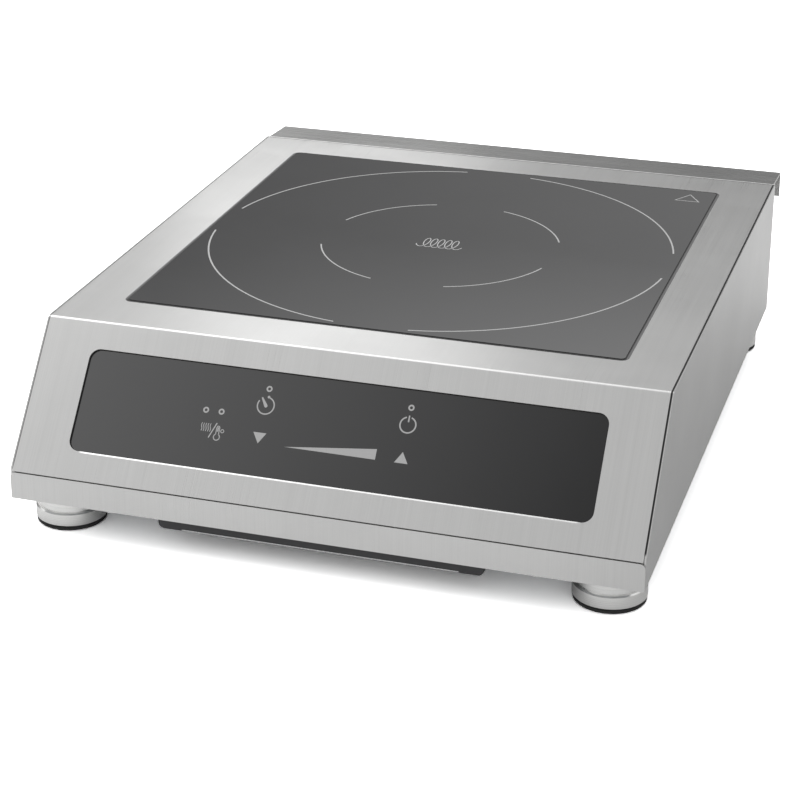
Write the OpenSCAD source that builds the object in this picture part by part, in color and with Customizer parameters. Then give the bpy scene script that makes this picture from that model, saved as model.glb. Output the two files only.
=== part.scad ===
// Countertop induction hob: folded stainless body with a square glass plate,
// a sloping touch panel, a rear ledge over the air outlets, four levelling feet
// and the inner coil, boards, fans and filter. Millimetres, +Z up, front at -Y.

/* [Body] */
// width across the side walls
body_w = 340; // [336:1:346]
// depth from the front strip to the rear lip
body_d = 428; // [425:1:434]
// height from the floor to the top of the glass
body_h = 103; // [102:0.5:106]
// gap between the floor and the underside
foot_gap = 19.5; // [19:0.5:21]
// thickness of the folded sheet
sheet_t = 1; // [0.8:0.1:1.2]
// outside radius of the bend between deck and fascia
bend_r = 2; // [1.5:0.5:4]

/* [Fascia] */
// height of the vertical front strip
strip_h = 15.9; // [15:0.1:17]
// horizontal run of the sloping fascia
fascia_run = 55.4; // [54:0.2:58]
// width of the touch panel opening
panel_w = 281.6; // [274:0.2:284]
// height of the touch panel opening along the slope
panel_h = 56.5; // [54:0.5:58]
// distance up the slope from the crease to the panel opening
panel_s0 = 15.5; // [15:0.5:17]
// corner radius of the panel opening
panel_r = 6; // [5:0.5:10]

/* [Glass] */
// side of the square glass plate
glass_w = 276.4; // [274:0.2:280]
// thickness of the glass plate
glass_t = 4; // [4:0.5:5]
// corner radius of the glass plate
glass_r = 2.5; // [2:0.5:6]
// distance from the front strip to the centre of the glass
glass_y = 226.9; // [225:0.1:229]

/* [Rear ledge] */
// depth of the ledge behind the rear wall
ledge_d = 33.1; // [31:0.1:35]
// fall of the ledge towards its rear edge
ledge_drop = 1.9; // [1:0.1:3]
// height of the lip turned down at the rear edge
lip_h = 16.2; // [12:0.2:18]

/* [Coil] */
// distance from the front strip to the coil centre
coil_y = 226; // [225:0.5:228]
// radius of the first half turn of the winding
coil_r0 = 32; // [31.5:0.1:32.5]
// number of turns
coil_turns = 14; // [10:1:14]
// distance between neighbouring turns
coil_pitch = 5.2; // [5:0.1:5.2]
// diameter of the stranded wire
coil_wire = 4.8; // [4.4:0.1:4.8]

/* [Feet] */
// radius of the foot disc
foot_r = 19.1; // [17:0.1:20]
// thickness of the rubber sole
sole_t = 2.4; // [1.8:0.1:2.8]
// height of the foot disc above the sole
disc_h = 7.6; // [7:0.2:8]
// distance of the feet from the centre line
foot_x = 147.8; // [146:0.2:148]
// distance of the front feet from the front strip
foot_yf = 26.1; // [25:0.1:28]
// distance of the rear feet from the front strip
foot_yr = 373; // [364:0.5:373.5]

/* [Cooling] */
// side of each square fan frame
fan_w = 80; // [78:0.5:80]
// height of each fan frame
fan_h = 25; // [25:0.5:26]
// distance from the front strip to the fan centres
fan_y = 74; // [74:0.5:76]
// width of the filter handle bar
filter_w = 176; // [174:1:180]
// depth of the filter cassette
filter_d = 118; // [116:1:122]

/* [Hidden] */
$fn = 48;
t = sheet_t;
hw = body_w/2;
zb = foot_gap;
base_t = 1.2;
zf = zb + base_t;
zc = zb + strip_h;
zd = body_h - 0.3;
yr = body_d - ledge_d;
fa = atan2(zd - zc, fascia_run);
gl = glass_w/2;
zg = body_h - glass_t;
iw = hw - t - 0.25;
fan_x = fan_w/2 + 5;
pb_x = 104;
pb_y0 = 125;
pb_y1 = 350;
pb_z = zf + 8;
pz = pb_z + 1.6;
post = 112;
tray_z = body_h - 21.5;
wz = zg - 0.8 - 0.2 - coil_wire/2;
gland_x = -125;
gland_z = zb + 17;
stud_x = -92;
bs = [for (s = [-1, 1]) for (p = [[hw - 7.5, 70], [hw - 7.5, 200], [hw - 7.5, 330], [115, 7], [60, yr - 7]]) [s*p[0], p[1]]];
cs = [-140, -60, 60, 140];
key = [[-38.3, 53.5], [38.7, 53.4], [-65, 36.5], [-38.3, 36.5], [38.8, 36.5], [-20, 36.5], [-10, 36.5], [0, 36.5], [10, 36.5], [20, 36.5]];
led = [[-70, 47.1], [-61.4, 47.2], [-38.2, 62.6], [38.8, 62.4]];

module shift() translate([0, -body_d/2, 0]) children();
module on_fascia() translate([0, 0, zc]) rotate([fa, 0, 0]) children();
module ext(x0, x1) translate([x0, 0, 0]) rotate([90, 0, 90]) linear_extrude(x1 - x0) children();
module rrect(w, h, r) {
  square([w, h - 2*r], center = true);
  square([w - 2*r, h], center = true);
  for (x = [-1, 1], y = [-1, 1]) translate([x*(w/2 - r), y*(h/2 - r)]) circle(r);
}
module slab(w, h, r, z0, z1) translate([0, 0, z0]) linear_extrude(z1 - z0) rrect(w, h, r);
module box(x0, x1, y0, y1, z0, z1) translate([x0, y0, z0]) cube([x1 - x0, y1 - y0, z1 - z0]);
module cyl(r, z0, z1) translate([0, 0, z0]) cylinder(r = r, h = z1 - z0);
module ycyl(r, x, z, y0, y1) translate([x, y0, z]) rotate([-90, 0, 0]) cylinder(r = r, h = y1 - y0);
module xcyl(r, y, z, x0, x1) translate([x0, y, z]) rotate([0, 90, 0]) cylinder(r = r, h = x1 - x0);
function rev(l) = [for (i = [len(l) - 1:-1:0]) l[i]];
function tail(l) = [for (i = [1:len(l) - 1]) l[i]];
function nrm(v) = [-v[1], v[0]]/norm(v);
// polyline moved sideways by d, with mitred corners
function off(c, d) = [for (i = [0:len(c) - 1])
  let (a = nrm(c[max(i, 1)] - c[max(i, 1) - 1]), j = min(i, len(c) - 2), b = nrm(c[j + 1] - c[j]), m = a + b) c[i] + 2*d*m/(m*m)];
// edge of the folded sheet at depth d below its outer face, from crease to y1
function edge(d, y1) = concat(
  [[d*sin(fa), zc - d*cos(fa)]],
  [for (i = [0:8]) let (an = 90 + fa - fa*i/8)
    [fascia_run + bend_r*tan(fa/2) + (bend_r - d)*cos(an), zd - bend_r + (bend_r - d)*sin(an)]],
  [[y1, zd - d]]);

// ---- outer body ----

module top_cover() color("silver") shift() {
  ye = yr - t - 1.1;
  difference() {
    union() {
      ext(-iw, iw) polygon(concat(edge(0, ye), rev(edge(t, ye))));
      for (s = [-1, 1]) translate([s*(iw - t/2), 0, 0]) ext(-t/2, t/2)
        polygon(concat([[3, zc + 3*tan(fa) - t/2/cos(fa)]], tail(edge(t/2, ye)), [[ye, zd - 12], [fascia_run + 12*tan(fa/2), zd - 12], [6, zc - 6], [3, zc - 6]]));
      box(-iw, iw, t + 0.1, 2*t + 0.1, zc - 12, zc + 0.4);
      box(-iw, iw, ye - t, ye, zd - 16, zd - t/2);
    }
    translate([0, glass_y, 0]) slab(glass_w + 4, glass_w + 4, glass_r + 2, zd - 5, zd + 5);
    on_fascia() translate([0, panel_s0 + panel_h/2, 0]) slab(panel_w, panel_h, panel_r, -3, 3);
    for (x = cs) ycyl(2.1, x, zd - 10, ye - 5, ye + 5);
  }
}

module casing() color("lightgray") shift() difference() {
  union() {
    for (s = [-1, 1]) translate([s*(hw - t/2), 0, 0]) ext(-t/2, t/2)
      polygon(concat([[0, zb]], edge(0, yr), [[yr, zb]]));
    box(-hw, hw, 0, t, zb, zc - 0.8);
    box(-hw, hw, yr - t, yr, zb, zd - 0.05);
    difference() {
      box(-hw, hw, 0, yr, zf, zf + t);
      box(-hw + 13, hw - 13, 13, yr - 13, zf - 1, zf + t + 1);
    }
  }
  // rounded upper corners of the front strip
  for (s = [-1, 1]) translate([s*(hw - 3), 0, zc - 3.8]) difference() {
    translate([s > 0 ? 0 : -4, -1, 0]) cube([4, 1 + t, 6]);
    rotate([-90, 0, 0]) translate([0, 0, -2]) cylinder(r = 3, h = 5 + t);
  }
  // air outlets in the rear wall
  for (s = [-1, 1], i = [0:10]) translate([s*(14 + 9*i), yr - t/2, 0]) {
    translate([-2.5, -2, zb + 27]) cube([5, 4, 32]);
    for (z = [zb + 27, zb + 59]) translate([0, -2, z]) rotate([-90, 0, 0]) cylinder(r = 2.5, h = 4);
  }
  ycyl(8.2, gland_x, gland_z, yr - 5, yr + 5);
  ycyl(3.1, stud_x, gland_z, yr - 5, yr + 5);
  for (x = cs) ycyl(2.1, x, zd - 10, yr - 5, yr + 5);
  for (p = bs) translate([p[0], p[1], 0]) cyl(2.1, zb, zf + 5);
}

module rear_ledge() color("silver") shift() difference() {
  ext(-hw + 1.1, hw - 1.1) polygon([
    [yr, zd - 0.3], [body_d - 1.6, zd - 0.3 - ledge_drop], [body_d - 0.5, zd - 0.8 - ledge_drop], [body_d, zd - 1.9 - ledge_drop],
    [body_d, zd - 0.3 - ledge_drop - lip_h], [body_d - t, zd - 0.3 - ledge_drop - lip_h],
    [body_d - t, zd - 2.1 - ledge_drop], [body_d - t - 0.9, zd - 0.3 - t - ledge_drop],
    [yr + t, zd - 0.3 - t], [yr + t, zd - 18], [yr, zd - 18]]);
  for (x = cs) ycyl(2.1, x, zd - 10, yr - 2, yr + 5);
}

module base_plate() color("gainsboro") shift() difference() {
  box(-iw, iw, t + 0.1, yr - t - 0.1, zb, zf);
  for (s = [-1, 1], i = [-4:4]) let (h = sqrt(36*36 - 64*i*i))
    translate([s*fan_x + 8*i, fan_y, zb + base_t/2]) cube([5.2, 2*h, 4], center = true);
  for (p = bs) translate([p[0], p[1], 0]) cyl(2.1, zb - 1, zf + 1);
  for (x = [-1, 1], y = [foot_yf, foot_yr]) translate([x*foot_x, y, 0]) cyl(5.5, zb - 1, zf + 1);
  for (s = [-1, 1], x = [-1, 1], y = [-1, 1]) translate([s*fan_x + x*(fan_w/2 - 4.2), fan_y + y*(fan_w/2 - 4.2), 0]) cyl(1.9, zb - 1, zf + 1);
}

module case_screws() color("silver") shift() {
  for (p = bs) translate([p[0], p[1], 0]) difference() {
    union() { cyl(2, zb, zf + 5); cyl(3.8, zb - 2.2, zb); }
    translate([-2.4, -0.5, zb - 3]) cube([4.8, 1, 1.8]);
    translate([-0.5, -2.4, zb - 3]) cube([1, 4.8, 1.8]);
  }
  for (x = cs) difference() {
    union() { ycyl(2, x, zd - 10, yr - 8, yr + t); ycyl(3.8, x, zd - 10, yr + t, yr + t + 2.2); }
    box(x - 2.4, x + 2.4, yr + t + 1.2, yr + t + 3, zd - 10.5, zd - 9.5);
    box(x - 0.5, x + 0.5, yr + t + 1.2, yr + t + 3, zd - 12.4, zd - 7.6);
  }
}

// ---- cooking surface ----

module glass_plate() color([0.1, 0.1, 0.12]) shift() translate([0, glass_y, 0]) slab(glass_w, glass_w, glass_r, zg, body_h);

module glass_seal() color("black") shift() translate([0, glass_y, 0]) difference() {
  slab(glass_w + 4, glass_w + 4, glass_r + 2, zg - 0.8, zd);
  slab(glass_w, glass_w, glass_r, zg, zd + 1);
  slab(glass_w - 12, glass_w - 12, glass_r, zg - 2, zg + 1);
}

module glass_frame() color("darkgray") shift() translate([0, glass_y, 0]) difference() {
  union() {
    slab(glass_w + 19, glass_w + 19, glass_r + 8, zd - t - 1.5, zd - t);
    slab(glass_w + 7.4, glass_w + 7.4, glass_r + 4, zg - 2.3, zd - t);
  }
  slab(glass_w + 4.4, glass_w + 4.4, glass_r + 2.2, zg - 0.8, zd);
  slab(glass_w - 16, glass_w - 16, glass_r, zg - 4, zd);
}

module mica_sheet() color("tan") shift() translate([0, coil_y, 0]) difference() {
  cyl(116, zg - 0.8, zg);
  for (a = [45:90:315]) rotate(a) translate([112, 0, 0]) cyl(1.5, zg - 2, zg + 1);
}

module coil_winding() color("peru") shift() translate([-coil_pitch/4, coil_y, wz])
  for (k = [0:2*coil_turns - 1]) translate([k % 2 == 0 ? 0 : coil_pitch/2, 0, 0]) rotate(k % 2 == 0 ? 0 : 180)
    rotate_extrude(angle = 180) translate([coil_r0 + k*coil_pitch/2, 0]) circle(coil_wire/2);

rw = coil_r0 + (2*coil_turns - 1)*coil_pitch/2 + coil_pitch/4;
rf = 107.4;
fz = wz - coil_wire/2;

module coil_former() color("dimgray") shift() translate([0, coil_y, 0]) difference() {
  union() {
    cyl(rf + 1.8, fz - 2, fz);
    difference() { cyl(rf + 1.8, tray_z + 2, fz + 3.6); cyl(rf, tray_z + 1, fz + 5); }
    difference() { cyl(26, tray_z + 2, fz + 3.6); cyl(23.5, tray_z + 1, fz + 5); }
    for (a = [0:45:315]) rotate(a + 22.5) translate([25, -1.2, tray_z + 2]) cube([rf - 24.5, 2.4, fz - tray_z - 3]);
  }
  cyl(10, fz - 5, fz + 1);
  translate([rw, 0, 0]) cyl(2.8, tray_z, fz + 1);
  translate([coil_r0 - coil_pitch/4, 0, 0]) cyl(2.8, fz - 5, fz + 1);
}

module ferrite_bars() color([0.25, 0.25, 0.27]) shift() translate([0, coil_y, 0])
  for (a = [0:45:315]) rotate(a) box(37, 97, -7.5, 7.5, fz - 8, fz - 2);

module coil_tray() color("gainsboro") shift() translate([0, coil_y, 0]) difference() {
  slab(240, 240, 8, tray_z, tray_z + 2);
  cyl(18, tray_z - 1, tray_z + 3);
  for (x = [-1, 1], y = [-1, 1]) translate([x*post, y*post, 0]) cyl(3, tray_z - 1, tray_z + 3);
  translate([rw, 0, 0]) cyl(3.6, tray_z - 1, tray_z + 3);
  translate([coil_r0 - coil_pitch/4, 0, 0]) cyl(3.6, tray_z - 1, tray_z + 3);
}

module coil_posts() color("silver") shift() for (x = [-1, 1], y = [-1, 1]) translate([x*post, coil_y + y*post, 0]) {
  cyl(4.6, zf, zf + 39.3);
  cyl(2.5, zf + 39.3, tray_z + 4);
  cyl(4.5, tray_z + 4, tray_z + 6.5);
}

module helix(R, r, h, n, seg, k) {
  m = n*seg;
  polyhedron(
    points = [for (i = [0:m]) for (j = [0:k - 1]) let (a = 360*i/seg, b = 360*j/k)
      [(R + r*cos(b))*cos(a), (R + r*cos(b))*sin(a), r + (h - 2*r)*i/m + r*sin(b)]],
    faces = concat(
      [for (i = [0:m - 1]) for (j = [0:k - 1]) let (q = (j + 1) % k) [i*k + j, i*k + q, (i + 1)*k + q, (i + 1)*k + j]],
      [[for (j = [k - 1:-1:0]) j], [for (j = [0:k - 1]) m*k + j]]));
}

module coil_springs() color("lightsteelblue") shift() for (x = [-1, 1], y = [-1, 1])
  translate([x*post, coil_y + y*post, zf + 39.3]) helix(3.9, 0.7, tray_z - zf - 39.3, 5, 16, 6);

module coil_leads() color("peru") shift() translate([0, coil_y, 0]) {
  translate([rw, 0, 0]) cyl(2.2, 42, fz);
  translate([rw, 0, 42]) sphere(2.2);
  xcyl(2.2, 0, 42, 92, rw);
  translate([92, 0, 42]) sphere(2.2);
  translate([92, 0, 0]) cyl(2.2, pz, 42);
  x1 = coil_r0 - coil_pitch/4;
  translate([x1, 0, 0]) cyl(2.2, 72, fz);
  translate([x1, 0, 72]) sphere(2.2);
  xcyl(2.2, 0, 72, x1, 84);
  translate([84, 0, 72]) sphere(2.2);
  translate([84, 0, 0]) cyl(2.2, pz, 72);
}

module thermistor() color("white") shift() translate([0, coil_y, 0]) {
  cyl(6, zg - 4.8, zg - 0.8);
  cyl(3.5, fz - 4, zg - 4.8);
  cyl(1, tray_z - 6, fz - 4);
}

// ---- control panel ----

module control_panel() color([0.08, 0.08, 0.09]) shift() on_fascia() translate([0, panel_s0 + panel_h/2, 0])
  slab(panel_w + 10, panel_h + 9, panel_r + 2, -t - 2.4, -t - 0.4);

module panel_gasket() color("black") shift() on_fascia() translate([0, panel_s0 + panel_h/2, 0]) difference() {
  slab(panel_w + 10, panel_h + 9, panel_r + 2, -t - 0.4, -t);
  slab(panel_w, panel_h, panel_r, -t - 1, 1);
}

module board_carrier() color("dimgray") shift() on_fascia() translate([0, panel_s0 + panel_h/2, 0]) difference() {
  union() {
    difference() {
      slab(250, 60, 3, -t - 15, -t - 2.4);
      slab(246, 56, 1.5, -t - 13.5, 1);
    }
    for (x = [-1, 0, 1], y = [-1, 1]) translate([x*114, y*22, 0]) cyl(3, -t - 14, -t - 11.6);
  }
  translate([96.5, -8, -t - 14]) cube([17, 12, 6], center = true);
}

module control_board() color("darkgreen") shift() on_fascia() translate([0, panel_s0 + panel_h/2, 0]) difference() {
  slab(240, 52, 2, -t - 11.6, -t - 10);
  for (x = [-1, 0, 1], y = [-1, 1]) translate([x*114, y*22, 0]) cyl(1.6, -t - 13, -t - 9);
}

module digit_display() color("black") shift() on_fascia() box(-26, 26, 45, 65, -t - 10, -t - 2.8);

module indicator_leds() color("red") shift() on_fascia() for (p = led) translate([p[0], p[1], 0]) {
  cyl(1.5, -t - 10, -t - 4.5);
  translate([0, 0, -t - 4.5]) sphere(1.5);
}

module touch_springs() color("silver") shift() on_fascia() for (p = key) translate([p[0], p[1], 0]) difference() {
  cyl(3.2, -t - 10, -t - 2.4);
  cyl(2.4, -t - 9, -t - 1);
}

module buzzer() color("black") shift() on_fascia() translate([94, 52, 0]) difference() {
  cyl(6, -t - 10, -t - 4);
  cyl(1.2, -t - 6, -t - 3);
}

module ribbon_cable() color("lightgray") shift() {
  q = [34*cos(fa) + (t + 12)*sin(fa), zc + 34*sin(fa) - (t + 12)*cos(fa)];
  c = [q, [40.5, zb + 29], [46, zb + 7], [60, zf + 2.6], [116, zf + 2.6], [119, pz + 3], [130, pz + 0.4]];
  ext(90, 103) polygon(concat(off(c, 0.4), rev(off(c, -0.4))));
}

// ---- power electronics ----

module power_board() color("darkgreen") shift() difference() {
  box(-pb_x, pb_x, pb_y0, pb_y1, pb_z, pz);
  for (x = [-1, 1], y = [pb_y0 + 11, (pb_y0 + pb_y1)/2 + 10, pb_y1 - 6]) translate([x*(pb_x - 6), y, 0]) cyl(1.9, pb_z - 1, pz + 1);
}

module board_standoffs() color("goldenrod") shift()
  for (x = [-1, 1], y = [pb_y0 + 11, (pb_y0 + pb_y1)/2 + 10, pb_y1 - 6]) translate([x*(pb_x - 6), y, 0]) difference() {
    translate([0, 0, zf]) cylinder(r = 4, h = 8, $fn = 6);
    cyl(1.85, zf + 1, pb_z + 1);
  }

module inner_screws() color("silver") shift() {
  for (x = [-1, 1], y = [pb_y0 + 11, (pb_y0 + pb_y1)/2 + 10, pb_y1 - 6]) translate([x*(pb_x - 6), y, 0]) difference() {
    union() { cyl(1.8, pz - 7.6, pz); cyl(3.4, pz, pz + 1.5); }
    translate([-2, -0.4, pz + 0.8]) cube([4, 0.8, 2]);
  }
  for (s = [-1, 1], x = [-1, 1], y = [-1, 1]) translate([s*fan_x + x*(fan_w/2 - 4.2), fan_y + y*(fan_w/2 - 4.2), 0]) difference() {
    union() { cyl(1.8, zb, zb + 7.6); cyl(3.4, zb - 1.5, zb); }
    translate([-2, -0.4, zb - 2.8]) cube([4, 0.8, 2]);
  }
}

hs_z = pz + 5.5;
module heat_sink() color("lightsteelblue") shift() {
  box(-75, 75, 130, 218, hs_z, hs_z + 5);
  for (i = [0:14]) box(-75 + 10.6*i, -73.4 + 10.6*i, 130, 218, hs_z + 4.5, hs_z + 26);
}

module igbts() color([0.15, 0.15, 0.15]) shift() for (x = [-58, -30, 30, 58]) {
  box(x - 8, x + 8, 150, 170, pz + 0.5, hs_z);
  for (d = [-5.4, 0, 5.4]) box(x + d - 0.6, x + d + 0.6, 170, 176, pz + 1.4, pz + 2);
  for (d = [-5.4, 0, 5.4]) box(x + d - 0.6, x + d + 0.6, 175.4, 176, pz, pz + 2);
}

module bridge_rectifier() color([0.12, 0.12, 0.12]) shift() {
  box(-15, 15, 190, 210, pz + 0.5, hs_z);
  for (d = [-11.4, -3.8, 3.8, 11.4]) {
    box(d - 0.7, d + 0.7, 210, 215, pz + 1.4, pz + 2.2);
    box(d - 0.7, d + 0.7, 214.2, 215, pz, pz + 2.2);
  }
}

module resonance_capacitors() color("steelblue") shift() for (x = [-62, 20]) difference() {
  box(x, x + 42, 240, 268, pz, pz + 30);
  for (d = [2, 40]) box(x + d - 0.4, x + d + 0.4, 239, 269, pz - 1, pz + 1);
}

module filter_capacitors() color("gold") shift() {
  box(-98, -66, 286, 304, pz, pz + 26);
  box(64, 96, 286, 304, pz, pz + 26);
}

module emi_choke() color("peru") shift() translate([-60, 326, 0]) {
  difference() { cyl(16, pz + 1.5, pz + 15.5); cyl(7, pz, pz + 17); }
  for (a = [20, 200]) rotate(a) translate([0, 0, pz + 8.5]) rotate_extrude(angle = 110) translate([11.5, 0]) square([12, 17], center = true);
}

module dc_choke() color("sienna") shift() translate([0, 306, 0]) {
  difference() { cyl(22, pz + 1.5, pz + 17.5); cyl(11, pz, pz + 19); }
  for (i = [0:17]) rotate(i*18 + 20) translate([16.5, 0, pz + 9.5]) rotate([90, 0, 0]) translate([0, 0, -1]) difference() {
    cube([14, 19, 2.2], center = true);
    cube([10.6, 15.6, 3], center = true);
  }
}

module smps_transformer() color("khaki") shift() {
  box(44, 66, 318, 340, pz, pz + 3);
  box(46, 64, 322, 336, pz + 3, pz + 17);
  box(44, 66, 319, 339, pz + 17, pz + 20);
  for (y = [318, 337]) box(48, 62, y, y + 3, pz + 3, pz + 17);
}

module fuse() color("beige") shift() {
  for (y = [312, 334]) box(-94, -86, y, y + 4, pz, pz + 9);
  ycyl(2.6, -90, pz + 6, 316, 334);
}

module terminal_block() color("ivory") shift() difference() {
  box(-136, -96, 354, 372, zf, zf + 17);
  for (x = [-129, -116, -103]) {
    translate([x, 363, 0]) cyl(3, zf + 8, zf + 18);
    ycyl(2.4, x, zf + 6, 353, 373);
  }
}

module mains_wires() color("saddlebrown") shift() {
  for (w = [[-129, 348, -86, 12], [-116, 345, -78, 16]]) {
    ycyl(1.6, w[0], zf + 6, w[1], 364);
    translate([w[0], w[1], zf + 6]) sphere(1.6);
    translate([w[0], w[1], 0]) cyl(1.6, zf + 6, pz + w[3]);
    translate([w[0], w[1], pz + w[3]]) sphere(1.6);
    xcyl(1.6, w[1], pz + w[3], w[0], w[2]);
    translate([w[2], w[1], pz + w[3]]) sphere(1.6);
    translate([w[2], w[1], 0]) cyl(1.6, pz, pz + w[3]);
  }
  ycyl(1.6, -103, zf + 6, 352.2, 364);
  translate([-103, 352.2, zf + 6]) sphere(1.6);
  translate([-103, 352.2, 0]) cyl(1.6, zf, zf + 6);
}

module cable_gland() color("gray") shift() difference() {
  union() {
    translate([gland_x, yr, gland_z]) rotate([-90, 0, 0]) cylinder(r = 12.7, h = 5, $fn = 6);
    ycyl(10.5, gland_x, gland_z, yr + 4.5, yr + 14);
    translate([gland_x, yr + 14, gland_z]) rotate([-90, 0, 0]) cylinder(r1 = 10.5, r2 = 6.5, h = 4);
    ycyl(8, gland_x, gland_z, yr - 10, yr + 1);
  }
  ycyl(4.5, gland_x, gland_z, yr - 12, yr + 20);
  for (a = [0:30:330]) translate([gland_x, 0, gland_z]) rotate([0, a, 0]) ycyl(0.7, 10.6, 0, yr + 5.5, yr + 13.5);
}

module gland_nut() color("gray") shift() difference() {
  translate([gland_x, yr - t - 4, gland_z]) rotate([-90, 0, 0]) cylinder(r = 12, h = 4, $fn = 6);
  ycyl(8.05, gland_x, gland_z, yr - t - 5, yr);
}

module bonding_stud() color("silver") shift() {
  ycyl(2.5, stud_x, gland_z, yr + 3, yr + 18);
  ycyl(3, stud_x, gland_z, yr - 6, yr + 3.5);
  for (y = [yr, yr - t - 3.5]) difference() {
    translate([stud_x, y, gland_z]) rotate([-90, 0, 0]) cylinder(r = 5.2, h = 3.5, $fn = 6);
    ycyl(3.05, stud_x, gland_z, y - 1, y + 5);
  }
}

// ---- cooling ----

module fan_frames() color([0.15, 0.15, 0.16]) shift() for (s = [-1, 1]) translate([s*fan_x, fan_y, 0]) difference() {
  union() {
    difference() {
      slab(fan_w, fan_w, 4, zf, zf + fan_h);
      cyl(fan_w/2 - 1.6, zf - 1, zf + fan_h + 1);
      for (a = [0:90:270]) rotate(a) translate([fan_w/2, 0, zf + fan_h/2]) cube([5, fan_w - 22, fan_h - 7], center = true);
    }
    difference() { cyl(fan_w/2 - 0.6, zf, zf + fan_h); cyl(fan_w/2 - 1.8, zf - 1, zf + fan_h + 1); }
    cyl(15, zf + 0.6, zf + 4);
    cyl(3.8, zf + 3.5, zf + 17);
    for (a = [45:90:315]) rotate(a) box(13, fan_w/2 - 1, -1.6, 1.6, zf + 0.6, zf + 3.6);
  }
  cyl(1.55, zf + 1.6, zf + 18);
  for (x = [-1, 1], y = [-1, 1]) translate([x*(fan_w/2 - 4.2), y*(fan_w/2 - 4.2), 0]) cyl(1.85, zf - 1, zf + fan_h + 1);
}

module fan_stators() color("peru") shift() for (s = [-1, 1]) translate([s*fan_x, fan_y, 0]) difference() {
  union() {
    cyl(7, zf + 4, zf + 17);
    for (a = [0:90:270]) rotate(a) { box(5, 12, -2.5, 2.5, zf + 6, zf + 15); box(10.6, 12.4, -6, 6, zf + 7, zf + 14); }
  }
  cyl(3.8, zf + 3, zf + 18);
}

module rotor() {
  difference() { cyl(16, zf + 5, zf + 23.6); cyl(14, zf + 4, zf + 21.6); }
  cyl(1.5, zf + 2.4, zf + 22.6);
  intersection() {
    difference() { cyl(fan_w/2 - 2.9, zf + 5, zf + 23.6); cyl(15.2, zf + 4, zf + 25); }
    for (i = [0:6]) rotate(i*360/7) translate([26, 0, zf + 14.3]) rotate([42, 0, 0]) cube([24, 1.5, 22], center = true);
  }
}
module fan_rotor_left() color([0.2, 0.2, 0.21]) shift() translate([-fan_x, fan_y, 0]) rotor();
module fan_rotor_right() color([0.2, 0.2, 0.21]) shift() translate([fan_x, fan_y, 0]) rotor();

module air_duct() color([0.3, 0.3, 0.32]) shift() {
  z0 = zf + fan_h;
  x1 = 2*fan_x - 4 + 0.5*1;
  difference() {
    ext(-x1/1 - 1.5, x1 + 1.5) polygon([[fan_y - 40, z0], [fan_y - 40, z0 + 2], [fan_y - 27, z0 + 15.5], [fan_y + 50, z0 + 15.5], [fan_y + 50, z0]]);
    ext(-x1, x1) polygon([[fan_y - 38.5, z0 - 1], [fan_y - 38.5, z0 + 1.4], [fan_y - 26.4, z0 + 14], [fan_y + 60, z0 + 14], [fan_y + 60, z0 - 1]]);
  }
}

module filter_frame() color([0.12, 0.12, 0.13]) shift() {
  fw = filter_w/2 - 4.2;
  h = zb - 0.5 - 12.4;
  difference() {
    translate([0, 4.5, 0]) rotate([90, 0, 0]) translate([0, 12.4 + h/2, -5]) linear_extrude(5) {
      translate([0, h/4]) square([filter_w, h/2], center = true);
      square([filter_w - h, h], center = true);
      for (s = [-1, 1]) translate([s*(filter_w/2 - h/2), 0]) circle(h/2);
    }
    translate([0, 4.4, 12.9]) cube([filter_w - 24, 1, 0.7], center = true);
  }
  difference() {
    box(-fw, fw, 9, filter_d + 3, 12.6, 17.2);
    box(-fw + 5, fw - 5, 14, filter_d - 2, 10, 20);
    box(-fw + 3, fw - 3, 12, filter_d, 14.2, 15.3);
  }
}

module filter_mesh() color("silver") shift() {
  fw = filter_w/2 - 7.2;
  for (i = [0:15]) let (x = -fw + 0.8 + i*(2*fw - 1.6)/15) box(x - 0.6, x + 0.6, 12.2, filter_d - 0.2, 14.2, 15.3);
  for (i = [0:9]) let (y = 12.8 + i*(filter_d - 13.6)/9) box(-fw + 0.2, fw - 0.2, y - 0.6, y + 0.6, 14.2, 15.3);
}

module filter_rails() color("silver") shift() for (s = [-1, 1]) {
  fw = filter_w/2 - 3.6;
  mirror([s > 0 ? 0 : 1, 0, 0]) difference() {
    union() {
      box(fw, fw + 1, 14, filter_d + 8, 10.8, zb);
      box(fw, fw + 11, 14, filter_d + 8, zb - 1, zb);
      box(fw - 4.2, fw + 1, 14, filter_d + 8, 10.8, 11.8);
    }
    box(fw - 6, fw - 1, 13, 18, 10, 12.2);
  }
}

// ---- levelling feet ----

module foot_nuts() color("silver") shift() for (x = [-1, 1], y = [foot_yf, foot_yr]) translate([x*foot_x, y, 0]) difference() {
  union() { translate([0, 0, zf]) cylinder(r = 9, h = 8, $fn = 6); }
  cyl(5.05, zf - 1, zf + 9);
}

module cup() {
  difference() {
    union() {
      rotate_extrude() polygon([[0, sole_t], [foot_r - 0.6, sole_t], [foot_r, sole_t + 0.6], [foot_r, sole_t + disc_h - 0.7], [foot_r - 0.7, sole_t + disc_h], [0, sole_t + disc_h]]);
      cyl(foot_r - 1.5, sole_t + disc_h - 0.5, zb - 0.3);
      cyl(5, zb - 1, zb + 18);
    }
    cyl(12.3, sole_t - 1, sole_t + 2.3);
  }
}
module sole() union() {
  rotate_extrude() polygon([[0, 0], [foot_r - 0.9, 0], [foot_r - 0.3, 0.6], [foot_r - 0.3, sole_t - 0.3], [0, sole_t - 0.3]]);
  cyl(12, 0.5, sole_t + 2);
}
module at_foot(x, y) translate([x*foot_x, y, 0]) children();
module foot_cup_fl() color("silver") shift() at_foot(-1, foot_yf) cup();
module foot_cup_fr() color("silver") shift() at_foot(1, foot_yf) cup();
module foot_cup_rl() color("silver") shift() at_foot(-1, foot_yr) cup();
module foot_cup_rr() color("silver") shift() at_foot(1, foot_yr) cup();
module foot_sole_fl() color("black") shift() at_foot(-1, foot_yf) sole();
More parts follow.
